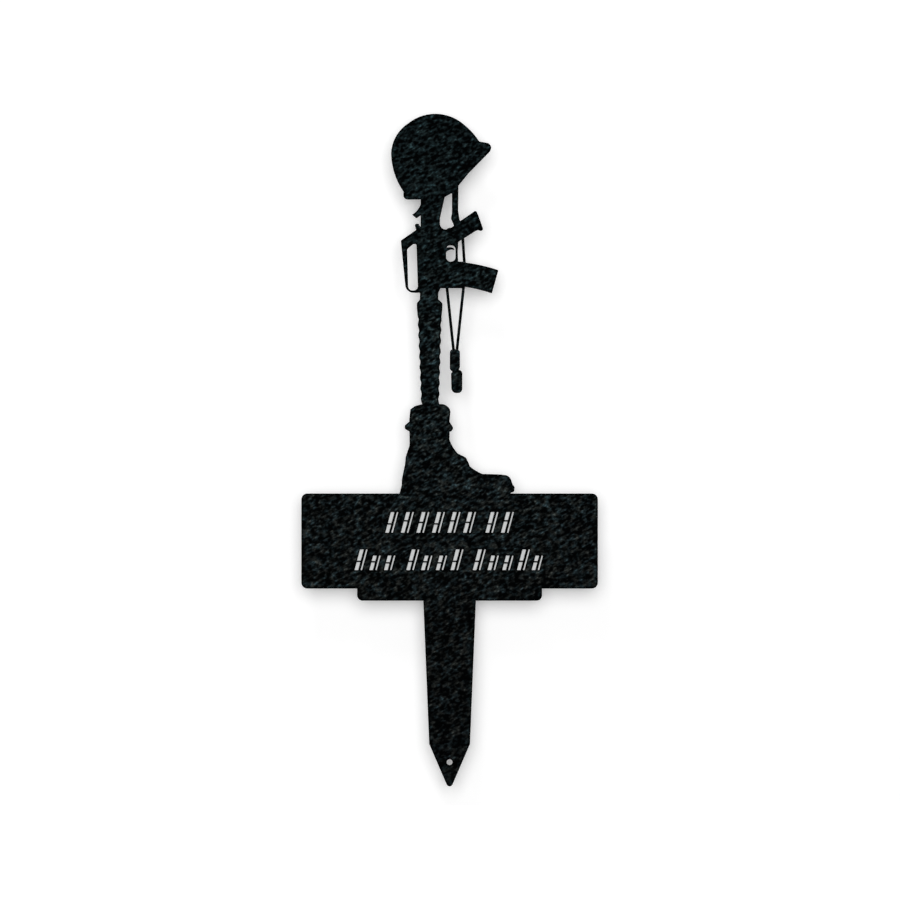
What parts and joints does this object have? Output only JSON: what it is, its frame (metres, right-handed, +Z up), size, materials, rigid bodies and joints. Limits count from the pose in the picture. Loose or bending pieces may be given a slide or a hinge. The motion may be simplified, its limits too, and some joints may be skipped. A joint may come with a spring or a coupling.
{
  "type": "metal memorial stake",
  "caption": "Flat steel memorial stake: helmet, upturned rifle and boot cut out above a stepped nameplate, on a pointed ground spike.",
  "frame": {"origin": "on the spike's centre line at the ground line, the underside of the nameplate's step, mid-thickness of the sheet", "axes": "+X right as seen from the front, +Y from the front face to the back, +Z up; the front faces -Y"},
  "size_m": [0.2686, 0.002, 0.6097],
  "materials": {
    "powder_coat": "black wrinkle powder coat, satin"
  },
  "bodies": {
    "root": {"stake_plate": "powder_coat"}
  },
  "joints": []
}
